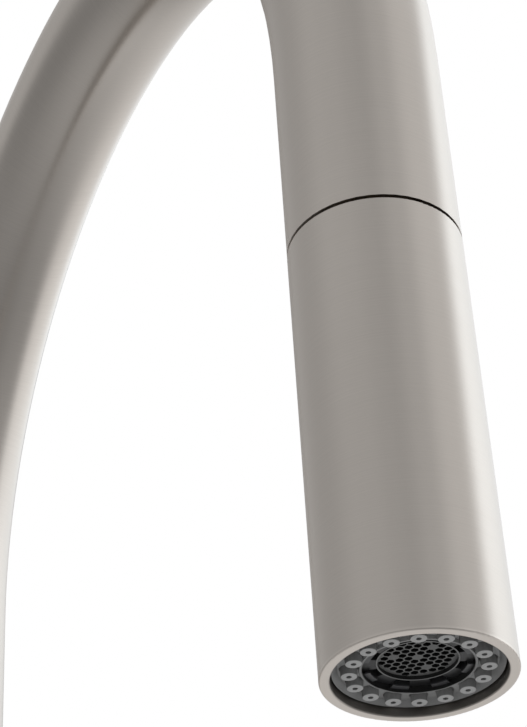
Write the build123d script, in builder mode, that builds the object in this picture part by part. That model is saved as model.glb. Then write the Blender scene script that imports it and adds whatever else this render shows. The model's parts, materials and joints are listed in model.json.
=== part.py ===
from build123d import *

import os
from math import asin, atan2, cos, degrees, pi, radians, sin, sqrt

# Single-lever kitchen faucet: a gooseneck tube on a deck-mounted body, with a pull-down spray head
# docked in the tube's mouth. Millimetres, +Z up. The origin is on the riser's axis at the deck's
# surface, the spout reaches towards -Y and the lever is on the +X side.

# ---------------------------------------------------------------- driving dimensions
tube_od = 32.0  # gooseneck tube, and the spray head below it
tube_wall = 1.5
arch_radius = 116.0  # centreline of the half-circle arch
outlet_height = 210.0  # deck to the spray head's rim
head_length = 85.2  # spray shell, rim to seam
seam_gap = 0.6  # between the shell's top and the tube's mouth
spout_drop = 44.7  # straight tube between the arch and its mouth

turning_gap = 0.05  # radial clearance of turning and sliding fits
easy_gap = 0.3  # clearance between pieces of two bodies that only pass each other
thrust_gap = 0.1  # axial clearance under a turning shoulder
cut_over = 1.0  # how far a cut runs past the face that it opens
edge_break = 0.8  # chamfers on turned ends

# Deck fixings
flange_od = 56.0
flange_height = 5.0
flange_round = 1.2
gasket_inner_r = 20.0
gasket_outer_r = 26.0
gasket_thickness = 2.0
shank_od = 33.0
shank_wall = 2.0
shank_length = 62.0  # below the deck
shank_engagement = 12.0  # threaded into the body's foot
deck_thickness = 30.0
washer_r = 26.0
rubber_washer_thickness = 3.0
steel_washer_thickness = 2.0
nut_r = 25.0
nut_height = 12.0
nut_drop = 3.0  # from the steel washer to the nut
nut_chamfer = 1.0
thrust_screw_count = 3
thrust_screw_r = 2.5
thrust_screw_circle_r = 21.0
thrust_screw_length = 21.0
thrust_head_r = 4.25
thrust_head_height = 4.0
hex_socket_r = 1.7

# Body
body_od = 46.0
body_round = 0.8
inlet_x = 2.5
inlet_y = 9.0
inlet_r = 4.5  # M10 x 1 threads for the two supply hoses
inlet_depth = 11.0
channel_r = 2.5
outlet_x = 9.6
outlet_tube_r = 3.5
outlet_tube_wall = 0.9
outlet_tube_engagement = 10.0
outlet_tube_drop = 100.0  # below the deck
coupling_r = 6.5
coupling_length = 30.0
coupling_grip = 5.0
coupling_stop = 1.0  # ledge that the tube's end rests on
coupling_socket_r = 4.6

# Spray hose
hose_r = 6.0
hose_bore_r = 4.0
hose_offset = 7.4  # the hose passes the shank beside the water tubes
hose_lean = 5.0  # how far it comes back towards the axis inside the body
hose_passage_gap = 0.6
hose_drop = 95.0  # to its lower end, under the deck
hose_joint_rise = 66.0  # this far above the swivel's floor the hose starts to swing with the spout
hose_straight = 12.0  # upright again below that joint
hose_bend_r = 90.0  # its gentle bends inside the body
hose_plug_grip = 20.0
hose_plug_wall = 1.2
hose_plug_collar_r = 7.8
hose_plug_collar = 8.0
hose_plug_tip_r = 4.4
hose_plug_length = 27.0
hose_barb_wall = 0.9
plug_taper = 0.6
plug_taper_length = 1.0
plug_ring_r = 0.8
plug_ring_height = 6.0  # above the plug's tip

# Swivel
swivel_rise = 19.0  # from the valve's axis to the floor of the swivel's bore
swivel_depth = 26.0  # from that floor to the body's top
swivel_bore_r = 18.5
stem_flange_thickness = 2.0
lower_bush_height = 10.0
bush_bore_gap = 1.0  # between the lower bush's flange and the stem's bore
bush_flange_r = 22.0
bush_flange_thickness = 1.2
stem_bore_r = 12.5
stem_plug_height = 20.0  # brazed inside the tube
stem_shoulder_height = 2.0  # body's top to the tube's foot
collar_height = 5.6
collar_edge = 1.0  # upright rim under the collar's slope
collar_top_r = 17.2
swivel_limit = 60.0  # each way, degrees
stop_nose_r = 1.5
stop_screw_r = 2.0
stop_screw_gap = 1.0  # from the stop screw up to the upper bush
stop_screw_sink = 0.5  # its outer end below the body's side
groove_depth = 1.1
groove_spare = 0.7  # degrees past both limits

# Dock in the tube's mouth
dock_height = 22.2
dock_skirt_wall = 0.55
dock_bore_r = 12.25
dock_lip = 0.6
dock_funnel = 6.0  # from the magnet to the start of the guiding cone
dock_fit = 0.05
magnet_gap = 0.4  # from the strike ring up to the magnet
magnet_thickness = 4.4
magnet_wall = 1.65

# Valve and handle
valve_height = 105.0
boss_r = 20.0
boss_reach = 45.0
cartridge_seat = 14.0
cartridge_r = 12.4
cartridge_wall = 1.4
cartridge_neck_r = 11.2
cartridge_neck_wall = 1.6
cartridge_fit = 0.1
cartridge_shoulder = 28.0
cartridge_end = 38.0
base_thickness = 4.0
disc_thickness = 3.0
moving_disc_r = 7.0
moving_disc_rim = 2.0
port_circle_r = 5.0
port_r = 1.8
port_rise = 2.2  # the two inlet ports above the valve's axis
port_spread = 0.8  # the inlet channels' extra distance from each other
port_seal_wall = 0.8
port_seal_depth = 1.0
carrier_thickness = 2.0
carrier_socket_r = 2.6
rotor_flange_thickness = 1.1
pivot_x = 35.0
pin_r = 1.5
pin_length = 16.0
stem_r = 3.0
finger_r = 2.0
finger_end = 24.4
rotor_slot_height = 13.0
nut_thread_r = 14.4
nut_thread_start = 27.0
nut_thread_end = 32.0
cartridge_nut_length = 5.0
ball_r = 17.0
ball_wall = 1.6
ball_reach = 4.7  # from the pivot to the ball skirt's rim
socket_gap = 0.6
bonnet_flange = 1.8
bonnet_spigot = 3.0
bonnet_wall = 1.0
bonnet_round = 0.8
neck_r = 7.5
neck_end = 64.0
neck_round = 2.0
hub_boss_r = 6.0
hub_boss_start = 43.0
stem_end = 60.0
lever_x = 57.0
lever_r = 4.0
lever_length = 90.0
lever_seat = 6.9  # the flat on the neck that the lever stands on
lever_spigot_r = 2.5
lever_spigot = 3.4
grub_r = 2.0
grub_length = 3.2
plug_r = 2.4
plug_length = 1.0

# Spray head
shell_wall = 1.8
shell_top_wall = 4.2
shell_round = 0.25
inlet_spigot_r = 8.8
inlet_spigot = 20.0
inlet_flange_thickness = 3.0
dock_flange_r = 13.6
hose_thread_r = 10.3
hose_thread = 9.8
inlet_bore_r = 6.0
valve_bore_r = 7.15
valve_seat_height = 73.0  # above the rim
check_valve_r = 7.1
check_valve_height = 15.0
check_spider = 2.0
check_wall = 1.5
check_seat_r = 3.6
check_seat_thickness = 2.0
check_hole_count = 6
check_hole_r = 1.0
poppet_r = 4.4
poppet_thickness = 2.3
poppet_gap = 0.1
poppet_stem_r = 1.2
poppet_stem_tip = 0.5
screen_thickness = 0.6
screen_hole_r = 0.5
screen_pitch = 1.6
screen_margin = 1.5
strike_thickness = 1.0
washer_bore_r = 6.3
hose_washer_r = 9.6
hose_washer_thickness = 1.4
ferrule_flange_r = 9.4
ferrule_flange_thickness = 2.0
ferrule_neck_r = 7.4
ferrule_neck = 4.6
ferrule_sleeve_wall = 1.0
ferrule_sleeve = 19.0
hose_nut_r = 11.9
hose_nut_flats = 22.6
hose_nut_lip = 2.4
waterway_foot = 16.0  # above the rim
waterway_step = 27.0
waterway_fit = 0.3
spool_height = 52.0  # above the rim
spool_bore_r = 4.5
spool_bore_end = -12.0
land_r = 4.4
spool_core_r = 2.0
seal_r = 0.75
feed_r = 3.0
port_travel_r = 1.0  # the spool's travel is this port's diameter
aerator_port = 4.3  # along the spool, outwards from the head's axis
spray_port = -4.6
spray_gallery = 22.0  # above the rim
spray_drop_r = 1.6
spool_inner = -6.4
land_overlap = 2.7  # width of the outer land
spool_chamber = (-3.6, 5.3)
button_r = 4.6
button_hole_gap = 0.4
button_proud = 2.0
button_flange_r = 5.6
button_flange = 1.2
button_round = 1.0
button_seat = 11.6
button_socket = 2.1
button_socket_step = 0.7
button_stop_gap = 0.2  # left under the flange when the button is pressed home
spring_wire_r = 0.3
check_spring_r = 3.0
check_spring_turns = 5
diverter_spring_r = 3.0
diverter_spring_turns = 4

# Spray face, heights above the rim
plate_face = 2.4
plate_thickness = 1.0
plate_r = 13.9
plate_skirt_wall = 0.5
plate_sleeve_r = 9.0
plate_sleeve_wall = 0.9
plate_lip = 0.6
plate_lip_edge = 0.4
plate_lip_foot = 0.6
plate_band_r = 12.9
plate_band_drop = 0.8
nozzle_count = 16
nozzle_circle_r = 11.1
nozzle_phase = 14.4  # degrees from +X
nozzle_tip = 0.93
nozzle_tip_r = 1.33
nozzle_base_r = 1.5
nozzle_bore_r = 0.45
nozzle_chamber_r = 0.9
nozzle_land = 1.2
nozzle_round = 0.12
nozzle_fit = 0.03
membrane_thickness = 1.0
aerator_foot = 2.9
aerator_height = 9.1
aerator_fit = 0.05
key_count = 8
key_phase = 35.0
key_sweep = 20.0
key_inner_r = 7.95
key_drop = 0.55
key_slot_depth = 1.8
comb_r = 6.72
comb_lip = 0.25
comb_foot = 2.84
comb_face = 3.5
comb_depth = 3.0
comb_pitch = 1.47
comb_wall = 0.27
comb_open_r = 6.4
comb_angle = 19.0
comb_fit = 0.05
aerator_land = 5.6
aerator_land_thickness = 2.0
aerator_screen_gap = 0.3
aerator_screen_margin = 1.0
aerator_gasket_thickness = 2.0
aerator_gasket_bore_r = 6.2

# ---------------------------------------------------------------- what follows from them
tube_r = tube_od / 2
tube_bore_r = tube_r - tube_wall
reach = 2 * arch_radius
shell_top = outlet_height + head_length
mouth_height = shell_top + seam_gap
arch_height = mouth_height + spout_drop
body_r = body_od / 2
swivel_floor = valve_height + swivel_rise
body_height = swivel_floor + swivel_depth
stem_foot = swivel_floor + stem_flange_thickness
stop_height = stem_foot + lower_bush_height + stop_screw_r
upper_bush_height = body_height - stop_height - stop_screw_r - stop_screw_gap
hose_joint_height = swivel_floor + hose_joint_rise
shank_r = shank_od / 2
shank_bore_r = shank_r - shank_wall
body_foot = flange_height
shank_top = body_foot + shank_engagement
inlet_top = shank_top + inlet_depth

RISER = Plane.XZ
HEAD = Plane(origin=(0, -reach, 0), x_dir=(1, 0, 0), z_dir=(0, -1, 0))
VALVE = Plane(origin=(0, 0, valve_height), x_dir=(1, 0, 0), z_dir=(0, -1, 0))
SPOOL = Plane(
    origin=(0, -reach, outlet_height + spool_height), x_dir=(0, 1, 0), z_dir=(1, 0, 0)
)
riser_axis = Axis.Z
head_axis = Axis((0, -reach, 0), (0, 0, 1))
valve_axis = Axis((0, 0, valve_height), (1, 0, 0))
spool_axis = Axis((0, -reach, outlet_height + spool_height), (0, 1, 0))


def outline(plane, *points):
    """A closed face through the points, drawn on the plane."""
    with BuildSketch(plane) as drawn:
        with BuildLine():
            Polyline(*points, close=True)
        make_face()
    return drawn.sketch


def ring(plane, inner, outer, low, high):
    """A rectangle from one radius to another, for a ring turned about the plane's vertical."""
    return outline(plane, (inner, low), (outer, low), (outer, high), (inner, high))


def bar(plane, inner, outer, low, high):
    """The same for a ring turned about the plane's horizontal."""
    return outline(plane, (low, inner), (high, inner), (high, outer), (low, outer))


def coil(radius, wire_r, turns, low, high, place):
    """A compression spring's wire from one height to the other, as quarter-turn arcs."""
    steps = 4 * turns
    rise = (high - low - 2 * wire_r) / steps
    points = [
        Vector(radius * cos(pi / 2 * k), radius * sin(pi / 2 * k), low + wire_r + rise * k)
        for k in range(steps + 1)
    ]
    tangent = Vector(0, radius * pi / 2, rise)
    with BuildLine() as wire:
        for start, end in zip(points, points[1:]):
            arc = TangentArc(start, end, tangent=tangent)
            tangent = arc % 1
    with BuildPart() as spring:
        with BuildSketch(Plane(points[0], x_dir=(1, 0, 0), z_dir=wire.line % 0)):
            Circle(wire_r)
        sweep(path=wire.wires()[0])
    return spring.part.moved(place)


def mesh_spots(pitch, limit):
    """Centres of a triangular lattice within the limit, row by row."""
    rows = int(limit / pitch) + 2
    spots = []
    for across in range(-2 * rows, 2 * rows + 1):
        for up in range(-rows, rows + 1):
            x = pitch * (across + up / 2)
            y = pitch * up * sqrt(3) / 2
            if x * x + y * y <= limit * limit:
                spots.append((x, y))
    return spots


def finish(piece, name):
    """Label the finished piece and write it as its own file."""
    piece.label = name
    export_step(piece, f"parts/{name}.step")


os.makedirs("parts", exist_ok=True)

# ================================================================ deck fixings
with BuildPart() as base_flange:
    revolve(
        outline(
            RISER,
            (shank_r + easy_gap, 0),
            (gasket_inner_r, 0),
            (gasket_inner_r, gasket_thickness),
            (gasket_outer_r, gasket_thickness),
            (gasket_outer_r, 0),
            (flange_od / 2, 0),
            (flange_od / 2, flange_height),
            (shank_r + easy_gap, flange_height),
        ),
        axis=riser_axis,
    )
    top = base_flange.edges().filter_by(GeomType.CIRCLE).group_by(Axis.Z)[-1]
    fillet(top.sort_by(SortBy.RADIUS)[-1], radius=flange_round)
finish(base_flange.part, "base_flange")

with BuildPart() as base_gasket:
    revolve(ring(RISER, gasket_inner_r, gasket_outer_r, 0, gasket_thickness), axis=riser_axis)
finish(base_gasket.part, "base_gasket")

with BuildPart() as mounting_shank:
    revolve(ring(RISER, shank_bore_r, shank_r, -shank_length, shank_top), axis=riser_axis)
    shank_foot = mounting_shank.edges().group_by(Axis.Z)[0].sort_by(SortBy.RADIUS)
    chamfer(shank_foot[-1], length=edge_break)
finish(mounting_shank.part, "mounting_shank")

rubber_bottom = -deck_thickness - rubber_washer_thickness
steel_bottom = rubber_bottom - steel_washer_thickness
nut_top = steel_bottom - nut_drop
nut_bottom = nut_top - nut_height

with BuildPart() as mounting_gasket:
    revolve(
        ring(RISER, shank_r + easy_gap, washer_r, rubber_bottom, -deck_thickness),
        axis=riser_axis,
    )
finish(mounting_gasket.part, "mounting_gasket")

with BuildPart() as mounting_washer:
    revolve(
        ring(RISER, shank_r + easy_gap, washer_r, steel_bottom, rubber_bottom), axis=riser_axis
    )
finish(mounting_washer.part, "mounting_washer")

with BuildPart() as mounting_nut:
    revolve(ring(RISER, shank_r, nut_r, nut_bottom, nut_top), axis=riser_axis)
    with BuildSketch(Plane.XY.offset(nut_bottom)):
        with PolarLocations(thrust_screw_circle_r, thrust_screw_count):
            Circle(thrust_screw_r)
    extrude(amount=nut_height, mode=Mode.SUBTRACT)
    nut_foot_edges = mounting_nut.edges().group_by(Axis.Z)[0].sort_by(SortBy.RADIUS)
    chamfer(nut_foot_edges[-1], length=nut_chamfer)
finish(mounting_nut.part, "mounting_nut")

thrust_screw_foot = steel_bottom - thrust_screw_length
with BuildPart() as thrust_screws:
    with PolarLocations(thrust_screw_circle_r, thrust_screw_count):
        with Locations((0, 0, thrust_screw_foot)):
            Cylinder(
                thrust_screw_r, thrust_screw_length, align=(Align.CENTER, Align.CENTER, Align.MIN)
            )
            Cylinder(
                thrust_head_r, thrust_head_height, align=(Align.CENTER, Align.CENTER, Align.MAX)
            )
    with BuildSketch(Plane.XY.offset(thrust_screw_foot - thrust_head_height)):
        with PolarLocations(thrust_screw_circle_r, thrust_screw_count):
            RegularPolygon(hex_socket_r, 6)
    extrude(amount=thrust_head_height / 2, mode=Mode.SUBTRACT)
finish(thrust_screws.part, "thrust_screws")

# ================================================================ body
lean = atan2(hose_lean, swivel_floor - shank_top)
passage_r = hose_r + hose_passage_gap
passage_plane = Plane(
    origin=(-hose_offset, 0, shank_top), x_dir=(0, 1, 0), z_dir=(sin(lean), 0, cos(lean))
)
passage_over = passage_r * sin(lean) + cut_over  # past both mouths of the leaning bore
hot_y = port_circle_r + port_spread
inlet_port_z = valve_height + port_rise
outlet_port_z = valve_height - port_circle_r
boss_bore_r = ball_r + socket_gap
spigot_r = boss_bore_r + bonnet_wall
disc_seat = cartridge_seat + base_thickness

with BuildPart() as faucet_body:
    revolve(ring(RISER, 0, body_r, body_foot, body_height), axis=riser_axis)
    fillet(faucet_body.edges().group_by(Axis.Z)[-1], radius=body_round)
    revolve(bar(VALVE, 0, boss_r, 0, boss_reach), axis=valve_axis)
    # swivel bore, shank thread and the leaning passage for the hose between them
    revolve(
        ring(RISER, 0, swivel_bore_r, swivel_floor, body_height),
        axis=riser_axis,
        mode=Mode.SUBTRACT,
    )
    revolve(ring(RISER, 0, shank_r, body_foot, shank_top), axis=riser_axis, mode=Mode.SUBTRACT)
    with BuildSketch(passage_plane.offset(-passage_over)):
        Circle(passage_r)
    extrude(
        amount=(swivel_floor - shank_top) / cos(lean) + 2 * passage_over, mode=Mode.SUBTRACT
    )
    # supply inlets and their channels up to the cartridge
    for side in (1, -1):
        with BuildSketch(Plane((inlet_x, side * inlet_y, shank_top))):
            Circle(inlet_r)
        extrude(amount=inlet_depth, mode=Mode.SUBTRACT)
        with BuildSketch(Plane((inlet_x, side * inlet_y, inlet_top))):
            Circle(channel_r)
        extrude(amount=inlet_port_z - inlet_top, mode=Mode.SUBTRACT)
        with BuildSketch(Plane((inlet_x, side * hot_y, inlet_port_z), z_dir=(1, 0, 0))):
            Circle(channel_r)
        extrude(amount=cartridge_seat - inlet_x, mode=Mode.SUBTRACT)
    # mixed water back down
    with BuildSketch(Plane((outlet_x, 0, shank_top))):
        Circle(outlet_tube_r)
    extrude(amount=outlet_tube_engagement, mode=Mode.SUBTRACT)
    with BuildSketch(Plane((outlet_x, 0, shank_top + outlet_tube_engagement))):
        Circle(channel_r)
    extrude(amount=outlet_port_z - shank_top - outlet_tube_engagement, mode=Mode.SUBTRACT)
    with BuildSketch(Plane((outlet_x, 0, outlet_port_z), z_dir=(1, 0, 0))):
        Circle(channel_r)
    extrude(amount=cartridge_seat - outlet_x, mode=Mode.SUBTRACT)
    # cartridge bore, nut thread and the socket that the handle's ball turns in
    revolve(
        outline(
            VALVE,
            (cartridge_seat, 0),
            (cartridge_seat, cartridge_r + cartridge_fit),
            (nut_thread_start, cartridge_r + cartridge_fit),
            (nut_thread_start, nut_thread_r),
            (nut_thread_end, nut_thread_r),
            (nut_thread_end, boss_bore_r),
            (boss_reach - bonnet_spigot, boss_bore_r),
            (boss_reach - bonnet_spigot, spigot_r),
            (boss_reach, spigot_r),
            (boss_reach, 0),
        ),
        axis=valve_axis,
        mode=Mode.SUBTRACT,
    )
    # tapped hole for the swivel's stop screw
    hole_start = swivel_bore_r - cut_over
    with BuildSketch(Plane((0, hole_start, stop_height), x_dir=(1, 0, 0), z_dir=(0, 1, 0))):
        Circle(stop_screw_r)
    extrude(amount=body_r + cut_over - hole_start, mode=Mode.SUBTRACT)
finish(faucet_body.part, "faucet_body")

# ================================================================ water tubes under the body
tube_plane = Plane(origin=(outlet_x, 0, 0), x_dir=(1, 0, 0), z_dir=(0, -1, 0))
tube_axis = Axis((outlet_x, 0, 0), (0, 0, 1))
with BuildPart() as outlet_tube:
    revolve(
        ring(
            tube_plane,
            outlet_tube_r - outlet_tube_wall,
            outlet_tube_r,
            -outlet_tube_drop,
            shank_top + outlet_tube_engagement,
        ),
        axis=tube_axis,
    )
finish(outlet_tube.part, "outlet_tube")

coupling_top = coupling_grip - outlet_tube_drop
with BuildPart() as outlet_coupling:
    revolve(
        outline(
            tube_plane,
            (outlet_tube_r, coupling_top),
            (outlet_tube_r, -outlet_tube_drop),
            (outlet_tube_r - outlet_tube_wall, -outlet_tube_drop),
            (outlet_tube_r - outlet_tube_wall, -outlet_tube_drop - coupling_stop),
            (coupling_socket_r, -outlet_tube_drop - coupling_stop),
            (coupling_socket_r, coupling_top - coupling_length),
            (coupling_r, coupling_top - coupling_length),
            (coupling_r, coupling_top),
        ),
        axis=tube_axis,
    )
    coupling_edges = outlet_coupling.edges().group_by(Axis.Z)[-1].sort_by(SortBy.RADIUS)
    chamfer(coupling_edges[-1], length=edge_break)
finish(outlet_coupling.part, "outlet_coupling")

# ================================================================ spray hose
# The hose is one piece. It is drawn in three stretches, because the part below the joint stays in
# the body, the arch swings with the spout and the last stretch slides with the spray head.
hose_top_x = hose_lean - hose_offset
bend_a = (-hose_offset, 0, shank_top)
bend_b = (hose_top_x, 0, swivel_floor)
bend_c = (0, 0, hose_joint_height - hose_straight)
with BuildPart() as hose_riser:
    with BuildLine() as riser_route:
        FilletPolyline(
            (-hose_offset, 0, -hose_drop),
            bend_a,
            bend_b,
            bend_c,
            (0, 0, hose_joint_height),
            radius=[hose_bend_r, hose_bend_r, hose_bend_r],
        )
    with BuildSketch(Plane((-hose_offset, 0, -hose_drop))):
        Circle(hose_r)
        Circle(hose_bore_r, mode=Mode.SUBTRACT)
    sweep(path=riser_route.wires()[0])
finish(hose_riser.part, "hose_riser")

with BuildPart() as hose_arch:
    with BuildLine() as hose_route:
        Line((0, 0, hose_joint_height), (0, 0, arch_height))
        ThreePointArc(
            (0, 0, arch_height), (0, -arch_radius, arch_height + arch_radius), (0, -reach, arch_height)
        )
    with BuildSketch(Plane((0, 0, hose_joint_height))):
        Circle(hose_r)
        Circle(hose_bore_r, mode=Mode.SUBTRACT)
    sweep(path=hose_route.wires()[0])
finish(hose_arch.part, "hose_arch")

plug_plane = Plane(origin=(-hose_offset, 0, 0), x_dir=(1, 0, 0), z_dir=(0, -1, 0))
plug_axis = Axis((-hose_offset, 0, 0), (0, 0, 1))
plug_foot = -hose_drop - hose_plug_length
with BuildPart() as hose_plug:
    revolve(
        outline(
            plug_plane,
            (hose_bore_r - hose_barb_wall, plug_foot),
            (hose_plug_tip_r - plug_taper, plug_foot),
            (hose_plug_tip_r, plug_foot + plug_taper_length),
            (hose_plug_tip_r, -hose_drop - hose_plug_collar),
            (hose_plug_collar_r, -hose_drop - hose_plug_collar),
            (hose_plug_collar_r, -hose_drop),
            (hose_r + hose_plug_wall, -hose_drop),
            (hose_r + hose_plug_wall, -hose_drop + hose_plug_grip),
            (hose_r, -hose_drop + hose_plug_grip),
            (hose_r, -hose_drop),
            (hose_bore_r, -hose_drop),
            (hose_bore_r, -hose_drop + hose_plug_grip),
            (hose_bore_r - hose_barb_wall, -hose_drop + hose_plug_grip),
        ),
        axis=plug_axis,
    )
    # groove for the plug's sealing ring
    with BuildSketch(plug_plane):
        with Locations((hose_plug_tip_r, plug_foot + plug_ring_height)):
            Circle(plug_ring_r)
    revolve(axis=plug_axis, mode=Mode.SUBTRACT)
finish(hose_plug.part, "hose_plug")

# ================================================================ swivel and spout
tube_foot = body_height + stem_shoulder_height
bush_r = tube_r + turning_gap
bush_bore_r = stem_bore_r + bush_bore_gap
with BuildPart() as swivel_bush_lower:
    revolve(
        outline(
            RISER,
            (bush_bore_r, swivel_floor),
            (swivel_bore_r, swivel_floor),
            (swivel_bore_r, stem_foot + lower_bush_height),
            (bush_r, stem_foot + lower_bush_height),
            (bush_r, stem_foot),
            (bush_bore_r, stem_foot),
        ),
        axis=riser_axis,
    )
finish(swivel_bush_lower.part, "swivel_bush_lower")

bush_top = body_height + bush_flange_thickness
with BuildPart() as swivel_bush_upper:
    revolve(
        outline(
            RISER,
            (bush_r, body_height - upper_bush_height),
            (swivel_bore_r, body_height - upper_bush_height),
            (swivel_bore_r, body_height),
            (bush_flange_r, body_height),
            (bush_flange_r, bush_top),
            (bush_r, bush_top),
        ),
        axis=riser_axis,
    )
finish(swivel_bush_upper.part, "swivel_bush_upper")

groove_r = tube_r - groove_depth
nose_angle = degrees(asin(stop_nose_r / groove_r))
groove_sweep = 2 * (swivel_limit + nose_angle + groove_spare)
groove_half = stop_nose_r + thrust_gap
groove_out = tube_r + cut_over
with BuildPart() as spout_stem:
    revolve(
        outline(
            RISER,
            (stem_bore_r, stem_foot + thrust_gap),
            (tube_r, stem_foot + thrust_gap),
            (tube_r, tube_foot),
            (tube_bore_r, tube_foot),
            (tube_bore_r, tube_foot + stem_plug_height),
            (stem_bore_r, tube_foot + stem_plug_height),
        ),
        axis=riser_axis,
    )
    # the stop screw's nose runs in this groove at the back
    groove_start = Plane.XZ.rotated((0, 0, 90 - groove_sweep / 2))
    with BuildSketch(groove_start):
        with BuildLine():
            Polyline(
                (groove_r, stop_height - groove_half),
                (groove_out, stop_height - groove_half),
                (groove_out, stop_height + groove_half),
                (groove_r, stop_height + groove_half),
                close=True,
            )
        make_face()
    revolve(axis=Axis.Z, revolution_arc=groove_sweep, mode=Mode.SUBTRACT)
finish(spout_stem.part, "spout_stem")

screw_plane = Plane(origin=(0, 0, stop_height), x_dir=(0, 1, 0), z_dir=(1, 0, 0))
screw_out = body_r - stop_screw_sink
with BuildPart() as spout_stop_screw:
    revolve(
        outline(
            screw_plane,
            (groove_r + easy_gap, 0),
            (groove_r + easy_gap, stop_nose_r),
            (swivel_bore_r, stop_nose_r),
            (swivel_bore_r, stop_screw_r),
            (screw_out, stop_screw_r),
            (screw_out, 0),
        ),
        axis=Axis((0, 0, stop_height), (0, 1, 0)),
    )
    with BuildSketch(Plane((0, screw_out, stop_height), x_dir=(1, 0, 0), z_dir=(0, -1, 0))):
        RegularPolygon(stop_screw_r / 2, 6)
    extrude(amount=stop_screw_r, mode=Mode.SUBTRACT)
finish(spout_stop_screw.part, "spout_stop_screw")

with BuildPart() as spout_tube:
    with BuildLine() as spout_route:
        Line((0, 0, tube_foot), (0, 0, arch_height))
        ThreePointArc(
            (0, 0, arch_height), (0, -arch_radius, arch_height + arch_radius), (0, -reach, arch_height)
        )
        Line((0, -reach, arch_height), (0, -reach, mouth_height))
    with BuildSketch(Plane((0, 0, tube_foot))):
        Circle(tube_r)
        Circle(tube_bore_r, mode=Mode.SUBTRACT)
    sweep(path=spout_route.wires()[0])
finish(spout_tube.part, "spout_tube")

collar_foot = bush_top + thrust_gap
collar_top = collar_foot + collar_height
with BuildPart() as spout_collar:
    with BuildSketch(RISER):
        with BuildLine():
            Polyline(
                (collar_top_r, collar_top),
                (tube_r, collar_top),
                (tube_r, collar_foot),
                (body_r, collar_foot),
                (body_r, collar_foot + collar_edge),
            )
            RadiusArc(
                (body_r, collar_foot + collar_edge), (collar_top_r, collar_top), 3 * collar_height
            )
        make_face()
    revolve(axis=Axis.Z)
finish(spout_collar.part, "spout_collar")

# ---- the dock in the tube's mouth
dock_r = tube_bore_r - dock_fit
dock_pocket_r = dock_r - dock_skirt_wall
magnet_low = shell_top + inlet_flange_thickness + strike_thickness + magnet_gap
magnet_high = magnet_low + magnet_thickness
with BuildPart() as dock_collar:
    revolve(
        outline(
            HEAD,
            (dock_pocket_r, mouth_height),
            (dock_r, mouth_height),
            (dock_r, mouth_height + dock_height),
            (dock_r - dock_lip, mouth_height + dock_height),
            (dock_bore_r, magnet_high + dock_funnel),
            (dock_bore_r, magnet_high),
            (dock_pocket_r, magnet_high),
        ),
        axis=head_axis,
    )
finish(dock_collar.part, "dock_collar")

with BuildPart() as dock_magnet:
    revolve(
        ring(HEAD, dock_pocket_r - magnet_wall, dock_pocket_r, magnet_low, magnet_high),
        axis=head_axis,
    )
finish(dock_magnet.part, "dock_magnet")

# ================================================================ cartridge
ports = (
    (port_circle_r, inlet_port_z - valve_height),
    (-port_circle_r, inlet_port_z - valve_height),
    (0.0, outlet_port_z - valve_height),
)


def port_holes(radius, x):
    """The three port circles across the valve's axis, at the station x."""
    with BuildSketch(Plane((x, 0, valve_height), x_dir=(0, 1, 0), z_dir=(1, 0, 0))) as drawn:
        with Locations(*ports):
            Circle(radius)
    return drawn.sketch


port_seal_r = port_r + port_seal_wall
with BuildPart() as cartridge_base:
    revolve(bar(VALVE, 0, cartridge_r, cartridge_seat, disc_seat), axis=valve_axis)
    extrude(port_holes(port_r, cartridge_seat), amount=base_thickness, mode=Mode.SUBTRACT)
    extrude(port_holes(port_seal_r, cartridge_seat), amount=port_seal_depth, mode=Mode.SUBTRACT)
finish(cartridge_base.part, "cartridge_base")

with BuildPart() as port_seals:
    extrude(port_holes(port_seal_r, cartridge_seat), amount=port_seal_depth)
    extrude(port_holes(port_r, cartridge_seat), amount=port_seal_depth, mode=Mode.SUBTRACT)
finish(port_seals.part, "port_seals")

disc_bore_r = cartridge_r - cartridge_wall
rotor_bore_r = cartridge_neck_r - cartridge_neck_wall
disc_top = disc_seat + 2 * disc_thickness
carrier_top = disc_top + carrier_thickness
rotor_foot = carrier_top + easy_gap
shell_step = rotor_foot + rotor_flange_thickness + turning_gap
with BuildPart() as cartridge_shell:
    revolve(
        outline(
            VALVE,
            (disc_seat, disc_bore_r),
            (disc_seat, cartridge_r),
            (cartridge_shoulder, cartridge_r),
            (cartridge_shoulder, cartridge_neck_r),
            (cartridge_end, cartridge_neck_r),
            (cartridge_end, rotor_bore_r),
            (shell_step, rotor_bore_r),
            (shell_step, disc_bore_r),
        ),
        axis=valve_axis,
    )
finish(cartridge_shell.part, "cartridge_shell")

with BuildPart() as fixed_disc:
    revolve(
        bar(VALVE, 0, disc_bore_r - cartridge_fit, disc_seat, disc_seat + disc_thickness),
        axis=valve_axis,
    )
    extrude(port_holes(port_r, disc_seat), amount=disc_thickness, mode=Mode.SUBTRACT)
finish(fixed_disc.part, "fixed_disc")

with BuildPart() as moving_disc:
    revolve(
        bar(VALVE, 0, moving_disc_r, disc_seat + disc_thickness, disc_top), axis=valve_axis
    )
    # the mixing hollow in its rubbing face
    hollow_top = disc_top - disc_thickness / 2
    revolve(
        bar(VALVE, 0, moving_disc_r - moving_disc_rim, disc_seat + disc_thickness, hollow_top),
        axis=valve_axis,
        mode=Mode.SUBTRACT,
    )
finish(moving_disc.part, "moving_disc")

with BuildPart() as disc_carrier:
    revolve(bar(VALVE, carrier_socket_r, moving_disc_r, disc_top, carrier_top), axis=valve_axis)
finish(disc_carrier.part, "disc_carrier")

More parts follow.
